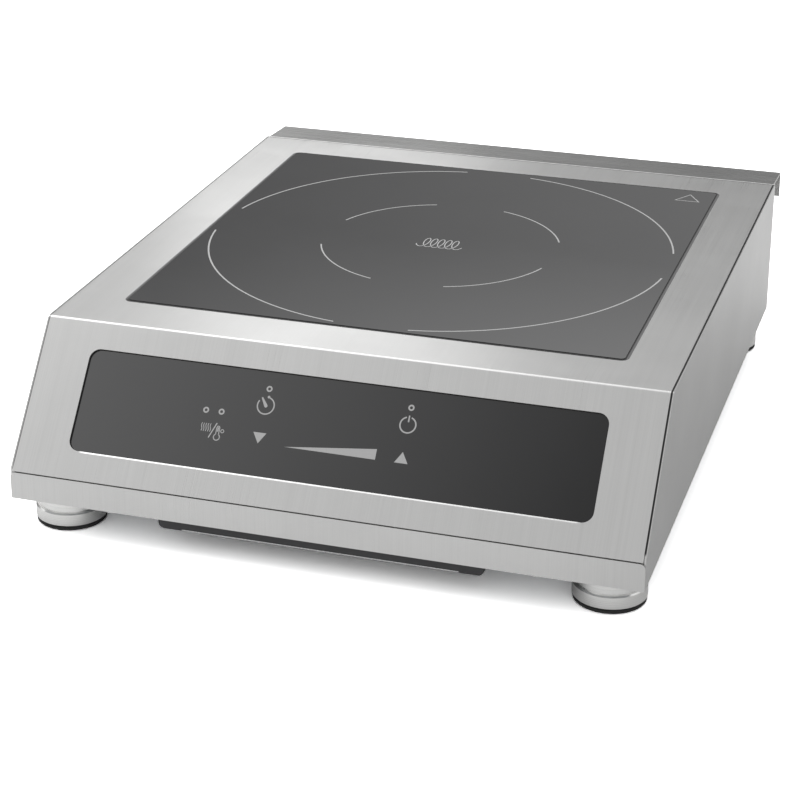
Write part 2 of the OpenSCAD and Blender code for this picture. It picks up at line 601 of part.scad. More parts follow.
module foot_sole_fr() color("black") shift() at_foot(1, foot_yf) sole();
module foot_sole_rl() color("black") shift() at_foot(-1, foot_yr) sole();
module foot_sole_rr() color("black") shift() at_foot(1, foot_yr) sole();

top_cover();
casing();
rear_ledge();
base_plate();
case_screws();
glass_plate();
glass_seal();
glass_frame();
mica_sheet();
coil_winding();
coil_former();
ferrite_bars();
coil_tray();
coil_posts();
coil_springs();
coil_leads();
thermistor();
control_panel();
panel_gasket();
board_carrier();
control_board();
digit_display();
indicator_leds();
touch_springs();
buzzer();
ribbon_cable();
power_board();
board_standoffs();
inner_screws();
heat_sink();
igbts();
bridge_rectifier();
resonance_capacitors();
filter_capacitors();
emi_choke();
dc_choke();
smps_transformer();
fuse();
terminal_block();
mains_wires();
cable_gland();
gland_nut();
bonding_stud();
fan_frames();
fan_stators();
fan_rotor_left();
fan_rotor_right();
air_duct();
filter_frame();
filter_mesh();
filter_rails();
foot_nuts();
foot_cup_fl();
foot_cup_fr();
foot_cup_rl();
foot_cup_rr();
foot_sole_fl();
foot_sole_fr();
foot_sole_rl();
foot_sole_rr();
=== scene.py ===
import bpy, bmesh, math
from mathutils import Vector, Matrix


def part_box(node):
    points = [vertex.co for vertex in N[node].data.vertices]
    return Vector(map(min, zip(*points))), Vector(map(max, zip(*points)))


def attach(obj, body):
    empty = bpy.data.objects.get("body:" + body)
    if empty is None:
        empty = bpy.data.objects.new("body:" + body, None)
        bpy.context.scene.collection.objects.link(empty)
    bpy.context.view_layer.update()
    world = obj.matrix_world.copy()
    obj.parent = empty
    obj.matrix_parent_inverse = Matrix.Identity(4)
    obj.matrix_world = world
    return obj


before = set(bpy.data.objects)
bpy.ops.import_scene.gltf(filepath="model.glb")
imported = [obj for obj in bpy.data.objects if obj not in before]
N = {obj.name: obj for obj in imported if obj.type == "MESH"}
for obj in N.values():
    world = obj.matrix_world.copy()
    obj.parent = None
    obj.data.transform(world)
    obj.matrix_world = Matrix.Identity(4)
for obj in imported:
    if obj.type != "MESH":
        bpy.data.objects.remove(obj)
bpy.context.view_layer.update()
MM = 0.001

# ------------------------------------------------------------------ sizes (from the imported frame)
lo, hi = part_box("glass_plate")
GZ = hi.z
GX0, GX1, GY0, GY1 = lo.x, hi.x, lo.y, hi.y
slo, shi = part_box("casing")
BW = shi.x - slo.x
Y0 = slo.y                       # front strip plane
ZB = slo.z                       # underside of the body
ZC = ZB + 15.9*MM                # crease between strip and fascia
ZD = GZ - 0.3*MM                 # deck
FA = math.atan2(ZD - ZC, 55.4*MM)
RING_Y = Y0 + 225.8*MM

# ------------------------------------------------------------------ node helpers
def new_mat(name):
    m = bpy.data.materials.new(name); m.use_nodes = True
    nt = m.node_tree
    b = nt.nodes["Principled BSDF"]
    return m, nt, b

def nd(nt, kind, **kw):
    n = nt.nodes.new(kind)
    for k, v in kw.items():
        if k.startswith("i_"):
            n.inputs[k[2:].replace("_", " ")].default_value = v
        else:
            setattr(n, k, v)
    return n

def coords(nt, scale, rot=(0, 0, 0)):
    tc = nd(nt, "ShaderNodeTexCoord")
    mp = nd(nt, "ShaderNodeMapping")
    mp.inputs["Scale"].default_value = scale
    mp.inputs["Rotation"].default_value = rot
    nt.links.new(tc.outputs["Object"], mp.inputs["Vector"])
    return mp.outputs["Vector"]

def noise(nt, vec, scale=1.0, detail=3.0, rough=0.6):
    n = nd(nt, "ShaderNodeTexNoise")
    n.inputs["Scale"].default_value = scale
    n.inputs["Detail"].default_value = detail
    n.inputs["Roughness"].default_value = rough
    nt.links.new(vec, n.inputs["Vector"])
    return n.outputs["Fac"]

def maprange(nt, fac, a, b, f0=0.3, f1=0.7):
    r = nd(nt, "ShaderNodeMapRange")
    r.inputs["From Min"].default_value = f0
    r.inputs["From Max"].default_value = f1
    r.inputs["To Min"].default_value = a
    r.inputs["To Max"].default_value = b
    nt.links.new(fac, r.inputs["Value"])
    return r.outputs["Result"]

def mixcol(nt, fac, c0, c1):
    m = nd(nt, "ShaderNodeMix", data_type="RGBA")
    if isinstance(fac, float):
        m.inputs[0].default_value = fac
    else:
        nt.links.new(fac, m.inputs[0])
    for sock, c in ((m.inputs[6], c0), (m.inputs[7], c1)):
        if isinstance(c, (tuple, list)):
            sock.default_value = (*c[:3], 1)
        else:
            nt.links.new(c, sock)
    return m.outputs[2]

def mathn(nt, op, a, b=None, c=None):
    n = nd(nt, "ShaderNodeMath", operation=op)
    for i, v in enumerate((a, b, c)):
        if v is None:
            continue
        if isinstance(v, (int, float)):
            n.inputs[i].default_value = v
        else:
            nt.links.new(v, n.inputs[i])
    return n.outputs[0]

def bump(nt, b, height, strength, dist):
    n = nd(nt, "ShaderNodeBump")
    n.inputs["Strength"].default_value = strength
    n.inputs["Distance"].default_value = dist
    nt.links.new(height, n.inputs["Height"])
    nt.links.new(n.outputs["Normal"], b.inputs["Normal"])
    return n

# ------------------------------------------------------------------ materials
def gap_shade_mask(nt):
    """Painted shade: the shadow in the gap between the cover and the side walls, above the front strip, painted as a
    dark line.
    """
    tc = nd(nt, "ShaderNodeTexCoord")
    sp = nd(nt, "ShaderNodeSeparateXYZ")
    nt.links.new(tc.outputs["Object"], sp.inputs[0])
    ax = mathn(nt, "ABSOLUTE", sp.outputs[0])
    f = mathn(nt, "MULTIPLY", maprange(nt, ax, 0, 1, BW/2 - 0.00155, BW/2 - 0.00135), maprange(nt, ax, 1, 0, BW/2 - 0.00055, BW/2 - 0.0003))
    f = mathn(nt, "MULTIPLY", f, maprange(nt, sp.outputs[2], 0, 1, ZC - 0.0002, ZC + 0.0008))
    f = mathn(nt, "MULTIPLY", f, maprange(nt, sp.outputs[0], 0.3, 1.0, -0.01, 0.01))
    f = mathn(nt, "MULTIPLY", f, maprange(nt, sp.outputs[1], 1, 0, shi.y - 0.002, shi.y - 0.001))
    return mathn(nt, "MULTIPLY", f, maprange(nt, sp.outputs[1], 0, 1, Y0 + 0.002, Y0 + 0.003))

def roll(nt, dist, mask, width):
    """Height of an edge that rolls away over its last bit: dist is how far a point lies before the edge, in metres."""
    q = maprange(nt, dist, 1.0, 0.0, 0.0, width)
    h = mathn(nt, "MULTIPLY", mathn(nt, "MULTIPLY", q, q), -0.36*width)
    return mathn(nt, "MULTIPLY", h, mask)

def opening_edge(nt):
    """The cut edge below the panel opening, rounded off by polishing."""
    tc = nd(nt, "ShaderNodeTexCoord")
    sp = nd(nt, "ShaderNodeSeparateXYZ")
    nt.links.new(tc.outputs["Object"], sp.inputs[0])
    up = mathn(nt, "ADD", mathn(nt, "MULTIPLY", mathn(nt, "SUBTRACT", sp.outputs[1], Y0), math.cos(FA)), mathn(nt, "MULTIPLY", mathn(nt, "SUBTRACT", sp.outputs[2], ZC), math.sin(FA)))
    dist = mathn(nt, "SUBTRACT", 15.5*MM, up)
    mask = mathn(nt, "MULTIPLY", maprange(nt, dist, 0, 1, -0.5*MM, -0.3*MM), maprange(nt, mathn(nt, "ABSOLUTE", sp.outputs[0]), 1, 0, 131*MM, 135*MM))
    return roll(nt, dist, mask, 0.95*MM)

def wall_edge(nt):
    """The rounded top edge of the rear wall, seen as a thin line between deck and ledge."""
    tc = nd(nt, "ShaderNodeTexCoord")
    sp = nd(nt, "ShaderNodeSeparateXYZ")
    nt.links.new(tc.outputs["Object"], sp.inputs[0])
    dist = mathn(nt, "SUBTRACT", sp.outputs[1], shi.y - 1*MM)
    mask = mathn(nt, "MULTIPLY", maprange(nt, dist, 0, 1, -0.6*MM, -0.3*MM), maprange(nt, sp.outputs[2], 0, 1, ZD - 1*MM, ZD - 0.6*MM))
    return roll(nt, dist, mask, 0.95*MM)

def brushed(name, base=(0.60, 0.60, 0.595), rough=0.30, grain="y", amp=1.0, gap_shade=False, edge=None):
    """Brushed stainless sheet. grain y: lines run front to back and up the slope, and upright on the sides; grain x: lines run left to right."""
    m, nt, b = new_mat(name)
    b.inputs["Metallic"].default_value = 1.0
    if grain == "x":
        fine = noise(nt, coords(nt, (8, 2300, 2300)), 1.0, 4.0, 0.7)
        wide = noise(nt, coords(nt, (3.0, 380, 380)), 1.0, 2.0, 0.5)
    else:
        ge = nd(nt, "ShaderNodeNewGeometry")
        sp = nd(nt, "ShaderNodeSeparateXYZ")
        nt.links.new(ge.outputs["Normal"], sp.inputs[0])
        side = mathn(nt, "GREATER_THAN", mathn(nt, "ABSOLUTE", sp.outputs[0]), 0.6)
        def pick(a, c):
            x = nd(nt, "ShaderNodeMix", data_type="FLOAT")
            nt.links.new(side, x.inputs[0]); nt.links.new(a, x.inputs[2]); nt.links.new(c, x.inputs[3])
            return x.outputs[0]
        fine = pick(noise(nt, coords(nt, (2300, 8, 8)), 1.0, 4.0, 0.7), noise(nt, coords(nt, (8, 2300, 8)), 1.0, 4.0, 0.7))
        wide = pick(noise(nt, coords(nt, (380, 3, 3)), 1.0, 2.0, 0.5), noise(nt, coords(nt, (3, 380, 3)), 1.0, 2.0, 0.5))
    cloud = noise(nt, coords(nt, (11, 11, 11)), 1.0, 3.0, 0.55)
    c = mixcol(nt, maprange(nt, fine, 0, 1, 0.25, 0.75), tuple(v*(1 - 0.06*amp) for v in base), tuple(min(1, v*(1 + 0.055*amp)) for v in base))
    c = mixcol(nt, maprange(nt, wide, 0, 0.22*amp, 0.35, 0.75), c, tuple(min(1, v*1.08) for v in base))
    c = mixcol(nt, maprange(nt, cloud, 0, 0.35*amp, 0.38, 0.66), c, tuple(v*0.90 for v in base))
    # painted shade: a dark line painted into the steel colour along the gap between the cover and the side walls
    if gap_shade:
        c = mixcol(nt, gap_shade_mask(nt), c, (0.05, 0.05, 0.05))
    nt.links.new(c, b.inputs["Base Color"])
    r = mathn(nt, "ADD", maprange(nt, fine, rough - 0.04, rough + 0.05, 0.25, 0.75), maprange(nt, cloud, -0.025, 0.03, 0.3, 0.7))
    nt.links.new(r, b.inputs["Roughness"])
    # fine scratches over a very shallow waviness of the sheet
    wave = nd(nt, "ShaderNodeBump")
    wave.inputs["Strength"].default_value = 0.5
    wave.inputs["Distance"].default_value = 0.0009*amp
    nt.links.new(cloud, wave.inputs["Height"])
    top = bump(nt, b, mathn(nt, "ADD", fine, mathn(nt, "MULTIPLY", wide, 0.4)), 0.09*amp, 0.00012)
    if edge:
        e = nd(nt, "ShaderNodeBump")
        e.inputs["Strength"].default_value = 1.0
        e.inputs["Distance"].default_value = 1.0
        nt.links.new(edge(nt), e.inputs["Height"])
        nt.links.new(wave.outputs["Normal"], e.inputs["Normal"])
        nt.links.new(e.outputs["Normal"], top.inputs["Normal"])
    else:
        nt.links.new(wave.outputs["Normal"], top.inputs["Normal"])
    return m

def plain_metal(name, base, rough=0.35, scale=400, amount=0.1, metallic=1.0, bs=0.15, bd=0.0001):
    m, nt, b = new_mat(name)
    b.inputs["Metallic"].default_value = metallic
    f = noise(nt, coords(nt, (scale, scale, scale)), 1.0, 4.0, 0.6)
    l = noise(nt, coords(nt, (18, 18, 18)), 1.0, 3.0, 0.5)
    c = mixcol(nt, maprange(nt, f, 0, 1, 0.3, 0.7), tuple(v*(1 - amount) for v in base), tuple(min(1, v*(1 + amount)) for v in base))
    c = mixcol(nt, maprange(nt, l, 0, 0.5, 0.4, 0.8), c, tuple(v*0.9 for v in base))
    nt.links.new(c, b.inputs["Base Color"])
    nt.links.new(maprange(nt, f, rough - 0.05, rough + 0.07), b.inputs["Roughness"])
    bump(nt, b, f, bs, bd)
    return m

def turned(name, base, rough, centres, pitch=0.00045):
    """Lathe-turned metal: fine rings about each vertical axis in centres, and fine lines round the side."""
    m, nt, b = new_mat(name)
    b.inputs["Metallic"].default_value = 1.0
    tc = nd(nt, "ShaderNodeTexCoord")
    sp = nd(nt, "ShaderNodeSeparateXYZ")
    nt.links.new(tc.outputs["Object"], sp.inputs[0])
    cx = abs(centres[0][0])
    ys = sorted({round(c[1], 5) for c in centres})
    dx = mathn(nt, "SUBTRACT", mathn(nt, "ABSOLUTE", sp.outputs[0]), cx)
    dy0 = mathn(nt, "ABSOLUTE", mathn(nt, "SUBTRACT", sp.outputs[1], ys[0]))
    dy1 = mathn(nt, "ABSOLUTE", mathn(nt, "SUBTRACT", sp.outputs[1], ys[-1]))
    dy = mathn(nt, "MINIMUM", dy0, dy1)
    r = mathn(nt, "SQRT", mathn(nt, "ADD", mathn(nt, "MULTIPLY", dx, dx), mathn(nt, "MULTIPLY", dy, dy)))
    q = mathn(nt, "ADD", mathn(nt, "MULTIPLY", r, 1/pitch), mathn(nt, "MULTIPLY", sp.outputs[2], 1/pitch))
    cmb = nd(nt, "ShaderNodeCombineXYZ")
    nt.links.new(q, cmb.inputs[0])
    n1 = noise(nt, cmb.outputs[0], 1.0, 3.0, 0.6)
    c = mixcol(nt, maprange(nt, n1, 0, 1, 0.25, 0.75), tuple(v*0.80 for v in base), tuple(min(1, v*1.12) for v in base))
    nt.links.new(c, b.inputs["Base Color"])
    nt.links.new(maprange(nt, n1, rough - 0.06, rough + 0.08), b.inputs["Roughness"])
    bump(nt, b, n1, 0.25, 0.00008)
    return m

def plastic(name, base, rough=0.5, grain=900, gb=0.2, gd=0.00006, coat=0.0, var=0.12):
    m, nt, b = new_mat(name)
    f = noise(nt, coords(nt, (grain, grain, grain)), 1.0, 3.0, 0.6)
    l = noise(nt, coords(nt, (35, 35, 35)), 1.0, 3.0, 0.5)
    c = mixcol(nt, maprange(nt, l, 0, 1, 0.3, 0.7), tuple(v*(1 - var) for v in base), tuple(min(1, v*(1 + var)) for v in base))
    nt.links.new(c, b.inputs["Base Color"])
    nt.links.new(maprange(nt, f, max(0.02, rough - 0.05), rough + 0.06), b.inputs["Roughness"])
    b.inputs["Coat Weight"].default_value = coat
    if gb:
        bump(nt, b, f, gb, gd)
    return m

def gloss_black(name, base=(0.012, 0.012, 0.013), rough=0.045, ior=1.52, speck=True):
    m, nt, b = new_mat(name)
    l = noise(nt, coords(nt, (26, 26, 26)), 1.0, 4.0, 0.6)
    s = noise(nt, coords(nt, (3200, 3200, 3200)), 1.0, 1.0, 0.5)
    c = mixcol(nt, maprange(nt, l, 0, 1, 0.3, 0.7), tuple(v*0.9 for v in base), tuple(v*1.15 for v in base))
    if speck:
        c = mixcol(nt, maprange(nt, s, 0, 0.7, 0.72, 0.8), c, tuple(min(1, v*3.5) for v in base))
    nt.links.new(c, b.inputs["Base Color"])
    nt.links.new(maprange(nt, l, rough - 0.015, rough + 0.02), b.inputs["Roughness"])
    b.inputs["IOR"].default_value = ior
    return m

def circuit(name):
    m, nt, b = new_mat(name)
    v = coords(nt, (160, 160, 160))
    vor = nd(nt, "ShaderNodeTexBrick")
    vor.inputs["Scale"].default_value = 1.0
    vor.inputs["Mortar Size"].default_value = 0.035
    vor.inputs["Color1"].default_value = (0.016, 0.11, 0.05, 1)
    vor.inputs["Color2"].default_value = (0.02, 0.15, 0.07, 1)
    vor.inputs["Mortar"].default_value = (0.05, 0.24, 0.12, 1)
    nt.links.new(v, vor.inputs["Vector"])
    nt.links.new(vor.outputs["Color"], b.inputs["Base Color"])
    b.inputs["Roughness"].default_value = 0.32
    b.inputs["Coat Weight"].default_value = 0.4
    return m

def litz(name, centre_y):
    """Varnished stranded copper: helical strand pattern round the spiral."""
    m, nt, b = new_mat(name)
    b.inputs["Metallic"].default_value = 0.55
    tc = nd(nt, "ShaderNodeTexCoord")
    sp = nd(nt, "ShaderNodeSeparateXYZ")
    nt.links.new(tc.outputs["Object"], sp.inputs[0])
    y = mathn(nt, "SUBTRACT", sp.outputs[1], centre_y)
    ang = mathn(nt, "ARCTAN2", y, sp.outputs[0])
    rr = mathn(nt, "SQRT", mathn(nt, "ADD", mathn(nt, "MULTIPLY", sp.outputs[0], sp.outputs[0]), mathn(nt, "MULTIPLY", y, y)))
    ph = mathn(nt, "ADD", mathn(nt, "MULTIPLY", ang, 110.0), mathn(nt, "MULTIPLY", rr, 2600.0))
    w = mathn(nt, "SINE", ph)
    c = mixcol(nt, maprange(nt, w, 0, 1, -1, 1), (0.25, 0.11, 0.04), (0.66, 0.34, 0.15))
    nt.links.new(c, b.inputs["Base Color"])
    b.inputs["Roughness"].default_value = 0.36
    bump(nt, b, w, 0.5, 0.0002)
    return m

def seal_mat(name, half, gap):
    """Black silicone joint, with a paler band outside it on the two side edges: a painted reflection of the rounded rim
    of the cut-out.
    """
    m, nt, b = new_mat(name)
    tc = nd(nt, "ShaderNodeTexCoord")
    sp = nd(nt, "ShaderNodeSeparateXYZ")
    nt.links.new(tc.outputs["Object"], sp.inputs[0])
    ax = mathn(nt, "ABSOLUTE", sp.outputs[0])
    f = maprange(nt, ax, 0, 1, half + gap - 0.00012, half + gap + 0.00012)
    n1 = noise(nt, coords(nt, (1500, 1500, 1500)), 1.0, 3.0, 0.6)
    dark = mixcol(nt, n1, (0.008, 0.008, 0.008), (0.018, 0.018, 0.018))
    # painted reflection: this paler tone stands in for the reflection on the rounded rim of the cut-out
    painted_rim_reflection = mixcol(nt, n1, (0.085, 0.085, 0.085), (0.13, 0.13, 0.13))
    nt.links.new(mixcol(nt, f, dark, painted_rim_reflection), b.inputs["Base Color"])
    nt.links.new(maprange(nt, n1, 0.5, 0.62), b.inputs["Roughness"])
    bump(nt, b, n1, 0.3, 0.00006)
    return m

def rubber(name, base=(0.014, 0.014, 0.014)):
    return plastic(name, base, 0.72, 1600, 0.35, 0.00008, 0, 0.2)

feet = []
for k in ("fl", "fr", "rl", "rr"):
    a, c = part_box("foot_cup_" + k)
    feet.append((round((a.x + c.x)/2, 5), round((a.y + c.y)/2, 5)))

M = {
    "top_cover": brushed("deck_steel", rough=0.31, gap_shade=True, edge=opening_edge),
    "casing": brushed("casing_steel", rough=0.31, gap_shade=True, edge=wall_edge),
    "rear_ledge": brushed("ledge_steel", base=(0.53, 0.53, 0.525), rough=0.27, grain="x", amp=1.15),
    "base_plate": plain_metal("base_zinc", (0.50, 0.51, 0.52), 0.42, 260, 0.12),
    "glass_plate": gloss_black("glass_ceramic", (0.009, 0.009, 0.0098)),
    "glass_seal": seal_mat("silicone_black", (GX1 - GX0)/2, 0.0007),
    "control_panel": gloss_black("panel_gloss", (0.0055, 0.0055, 0.006), 0.09, 1.5, False),
    "panel_gasket": rubber("foam_black"),
    "foot": turned("foot_turned", (0.83, 0.83, 0.82), 0.20, feet),
    "sole": rubber("foot_rubber"),
    "screw": plain_metal("screw_zinc", (0.60, 0.60, 0.60), 0.25, 900, 0.06),
    "zinc": plain_metal("zinc_steel", (0.50, 0.51, 0.52), 0.38, 260, 0.12),
    "alu": plain_metal("mill_aluminium", (0.68, 0.69, 0.70), 0.34, 500, 0.07),
    "heat_sink": brushed("extruded_aluminium", (0.66, 0.67, 0.68), 0.36, "x", 0.7),
    "mica": plastic("mica_tan", (0.42, 0.33, 0.20), 0.45, 300, 0.1, 0.00005, 0.1, 0.3),
    "litz": litz("litz_copper", (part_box("coil_winding")[0].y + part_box("coil_winding")[1].y)/2),
    "copper": plain_metal("enamel_copper", (0.46, 0.20, 0.08), 0.3, 700, 0.2),
    "former": plastic("former_black", (0.055, 0.055, 0.058), 0.6, 700, 0.3),
    "ferrite": plastic("ferrite_grey", (0.06, 0.06, 0.065), 0.65, 500, 0.5, 0.0001),
    "spring": plain_metal("spring_wire", (0.52, 0.52, 0.53), 0.25, 900, 0.05),
    "sleeve": plastic("glass_sleeve", (0.66, 0.62, 0.50), 0.8, 1400, 0.6, 0.0002, 0, 0.15),
    "white": plastic("white_ceramic", (0.78, 0.78, 0.75), 0.3, 400, 0.05),
    "grey": plastic("carrier_grey", (0.12, 0.123, 0.128), 0.55, 800, 0.3),
    "pcb": circuit("board_green"),
    "display": gloss_black("display_smoke", (0.03, 0.008, 0.008), 0.1, 1.45, False),
    "led": plastic("lamp_red", (0.42, 0.03, 0.025), 0.2, 300, 0.0),
    "black": plastic("moulded_black", (0.028, 0.028, 0.03), 0.5, 900, 0.3),
    "ribbon": plastic("ribbon_grey", (0.40, 0.40, 0.41), 0.5, 300, 0.1),
    "brass": plain_metal("hex_brass", (0.68, 0.50, 0.22), 0.28, 700, 0.06),
    "blue": plastic("capacitor_blue", (0.03, 0.11, 0.30), 0.35, 300, 0.1, 0.00005, 0.3),
    "yellow": plastic("capacitor_yellow", (0.62, 0.42, 0.05), 0.35, 300, 0.1, 0.00005, 0.3),
    "tape": plastic("tape_yellow", (0.62, 0.50, 0.10), 0.4, 500, 0.15, 0.00005, 0.2),
    "ivory": plastic("block_ivory", (0.70, 0.67, 0.58), 0.45, 700, 0.15),
    "wire": plastic("wire_brown", (0.14, 0.06, 0.025), 0.4, 500, 0.1, 0.00005, 0.2),
    "nylon": plastic("gland_nylon", (0.07, 0.07, 0.075), 0.5, 900, 0.25),
    "filter": plastic("filter_coated", (0.022, 0.022, 0.024), 0.42, 1200, 0.35, 0.00006),
    "mesh": plain_metal("mesh_wire", (0.50, 0.50, 0.50), 0.32, 800, 0.08),
    "fan": plastic("fan_black", (0.035, 0.035, 0.037), 0.42, 700, 0.15),
    "print": plastic("printed_grey", (0.46, 0.46, 0.46), 0.4, 2500, 0.05, 0.00002, 0, 0.03),
    "panel_print": plastic("panel_print_grey", (0.36, 0.36, 0.36), 0.4, 2500, 0.05, 0.00002, 0, 0.03),
}

ASSIGN = {
    "case_screws": "screw", "inner_screws": "screw", "bonding_stud": "screw", "glass_frame": "zinc", "mica_sheet": "mica",
    "coil_winding": "litz", "coil_former": "former", "ferrite_bars": "ferrite", "coil_tray": "alu", "coil_posts": "zinc",
    "coil_springs": "spring", "coil_leads": "sleeve", "thermistor": "white", "board_carrier": "grey", "control_board": "pcb",
    "digit_display": "display", "indicator_leds": "led", "touch_springs": "spring", "buzzer": "black", "ribbon_cable": "ribbon",
    "power_board": "pcb", "board_standoffs": "brass", "heat_sink": "heat_sink", "igbts": "black", "bridge_rectifier": "black",
    "resonance_capacitors": "blue", "filter_capacitors": "yellow", "emi_choke": "copper", "dc_choke": "copper",
    "smps_transformer": "tape", "fuse": "white", "terminal_block": "ivory", "mains_wires": "wire", "cable_gland": "nylon",
    "gland_nut": "nylon", "fan_frames": "black", "fan_stators": "copper", "fan_rotor_left": "fan", "fan_rotor_right": "fan",
    "air_duct": "grey", "filter_frame": "filter", "filter_mesh": "mesh", "filter_rails": "zinc", "foot_nuts": "zinc",
}
for name, ob in N.items():
    key = name if name in M else ASSIGN.get(name) or ("foot" if name.startswith("foot_cup") else "sole" if name.startswith("foot_sole") else None)
    assert key, name
    ob.data.materials.clear()
    ob.data.materials.append(M[key])

# ------------------------------------------------------------------ edge rounding on the CAD nodes
def bevel(name, w, seg=2, ang=35):
    ob = N[name]
    md = ob.modifiers.new("edge", "BEVEL")
    md.width = w; md.segments = seg; md.limit_method = "ANGLE"; md.angle_limit = math.radians(ang)
    md.harden_normals = False
    md.use_clamp_overlap = True
    return md

for name, w in (("top_cover", 0.00036), ("casing", 0.00028), ("rear_ledge", 0.00025), ("glass_plate", 0.00035), ("filter_frame", 0.0003),
                ("cable_gland", 0.0003), ("glass_seal", 0.0002)):
    bevel(name, w)

# ------------------------------------------------------------------ mesh helpers
def make(name, verts, faces, mat, body="hob", smooth=False):
    me = bpy.data.meshes.new(name)
    me.from_pydata([tuple(v) for v in verts], [], faces)
    bm = bmesh.new(); bm.from_mesh(me)
    bmesh.ops.recalc_face_normals(bm, faces=bm.faces)
    bm.to_mesh(me); bm.free()
    me.validate(); me.update()
    if smooth:
        for p in me.polygons:
            p.use_smooth = True
    ob = bpy.data.objects.new(name, me)
    bpy.context.scene.collection.objects.link(ob)
    me.materials.append(mat)
    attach(ob, body)
    return ob

class Sheet:
    """Collects flat closed strips and outlines lying on a plane, each a few hundredths of a millimetre thick."""
    def __init__(s, origin, u, v, n, base, top):
        s.o, s.u, s.v, s.n, s.b, s.t = Vector(origin), Vector(u), Vector(v), Vector(n), base*MM, top*MM
        s.verts, s.faces = [], []
    def P(s, p, h):
        return s.o + s.u*(p[0]*MM) + s.v*(p[1]*MM) + s.n*h
    def strip(s, left, right, closed=False):
        """Closed solid between two matching polylines."""
        i0 = len(s.verts); n = len(left)
        for l, r in zip(left, right):
            s.verts += [s.P(l, s.b), s.P(r, s.b), s.P(r, s.t), s.P(l, s.t)]
        m = n if closed else n - 1
        for i in range(m):
            a = i0 + 4*i; c = i0 + 4*((i + 1) % n)
            for k in range(4):
                s.faces.append((a + k, a + (k + 1) % 4, c + (k + 1) % 4, c + k))
        if not closed:
            s.faces.append((i0, i0 + 1, i0 + 2, i0 + 3))
            e = i0 + 4*(n - 1)
            s.faces.append((e + 3, e + 2, e + 1, e))
    def arc(s, c, r, w, a0, a1, n=None):
        n = n or max(8, int(abs(a1 - a0)/2.5))
        closed = abs(abs(a1 - a0) - 360) < 1e-6
        k = n if closed else n + 1
        an = [math.radians(a0 + (a1 - a0)*i/n) for i in range(k)]
        s.strip([(c[0] + (r + w/2)*math.cos(a), c[1] + (r + w/2)*math.sin(a)) for a in an],
                [(c[0] + (r - w/2)*math.cos(a), c[1] + (r - w/2)*math.sin(a)) for a in an], closed)
    def poly(s, pts):
        i0 = len(s.verts); n = len(pts)
        for p in pts: s.verts.append(s.P(p, s.b))
        for p in pts: s.verts.append(s.P(p, s.t))
        s.faces.append(tuple(i0 + i for i in range(n)))
        s.faces.append(tuple(i0 + n + i for i in reversed(range(n))))
        for i in range(n):
            j = (i + 1) % n
            s.faces.append((i0 + i, i0 + j, i0 + n + j, i0 + n + i))
    def disc(s, c, r, n=28):
        s.poly([(c[0] + r*math.cos(2*math.pi*i/n), c[1] + r*math.sin(2*math.pi*i/n)) for i in range(n)])
    def line(s, pts, w, closed=False):
        L, R = [], []
        n = len(pts)
        for i, p in enumerate(pts):
            a = pts[i - 1] if (i > 0 or closed) else p
            c = pts[(i + 1) % n] if (i < n - 1 or closed) else p
            d1 = Vector((p[0] - a[0], p[1] - a[1])); d2 = Vector((c[0] - p[0], c[1] - p[1]))
            if d1.length < 1e-9: d1 = d2
            if d2.length < 1e-9: d2 = d1
            n1 = Vector((-d1.y, d1.x)).normalized(); n2 = Vector((-d2.y, d2.x)).normalized()
            m = n1 + n2
            m = m*(2/max(m.length_squared, 1.0))
            L.append((p[0] + m.x*w/2, p[1] + m.y*w/2)); R.append((p[0] - m.x*w/2, p[1] - m.y*w/2))
        s.strip(L, R, closed)
    def build(s, name, mat):
        return make(name, s.verts, s.faces, mat, "hob")

# ------------------------------------------------------------------ printed marks on the glass
g = Sheet((0, RING_Y, GZ), (1, 0, 0), (0, 1, 0), (0, 0, 1), -0.03, 0.03)
for a0, a1 in ((10.4, 81.2), (98.8, 169.8), (187.2, 261.2), (278.9, 352.9)):
    g.arc((0, 0), 135.0, 0.95, a0, a1)
for a0, a1 in ((19.4, 72.4), (107.9, 160.8), (197.9, 252.0), (287.6, 342.0)):
    g.arc((0, 0), 69.5, 0.85, a0, a1)
# coil symbol: five overlapping loops
pts = []
for i in range(0, 151):
    t = -0.35*math.pi + i/150*(10*math.pi + 0.7*math.pi)
    pts.append((-10.6 + 4.3*t/(2*math.pi) + 2.55*math.sin(t), -7.2*math.cos(t)))
g.line(pts, 0.62)
g.build("glass_print", M["print"])
# plain triangle outline in the rear right corner
tr = Sheet((0, Y0, GZ), (1, 0, 0), (0, 1, 0), (0, 0, 1), -0.03, 0.03)
tr.line([(116.0, 345.4), (130.4, 345.4), (123.2, 357.6)], 0.6, closed=True)
tr.build("glass_corner_mark", M["print"])

# ------------------------------------------------------------------ printed symbols on the touch panel
u, v, n = Vector((1, 0, 0)), Vector((0, math.cos(FA), math.sin(FA))), Vector((0, -math.sin(FA), math.cos(FA)))
p = Sheet(Vector((0, Y0, ZC)), u, v, n, -1.44, -1.36)
for c in ((-70.0, 47.1), (-61.4, 47.2), (-38.2, 62.6), (38.8, 62.4)):
    p.arc(c, 1.22, 0.85, 0, 360, 28)
# timer
c = (-38.3, 53.5)
p.arc(c, 4.55, 0.7, 72, -212, 70)
p.disc((c[0] + 0.75, c[1] + 4.75), 0.72)
p.poly([(c[0] - 3.1, c[1] + 3.9), (c[0] - 0.75, c[1] - 0.5), (c[0] - 0.35, c[1] - 0.95), (c[0] + 0.2, c[1] - 1.05), (c[0] + 0.75, c[1] - 0.75),
        (c[0] + 0.98, c[1] - 0.2), (c[0] + 0.85, c[1] + 0.35), (c[0] - 2.45, c[1] + 4.4)])
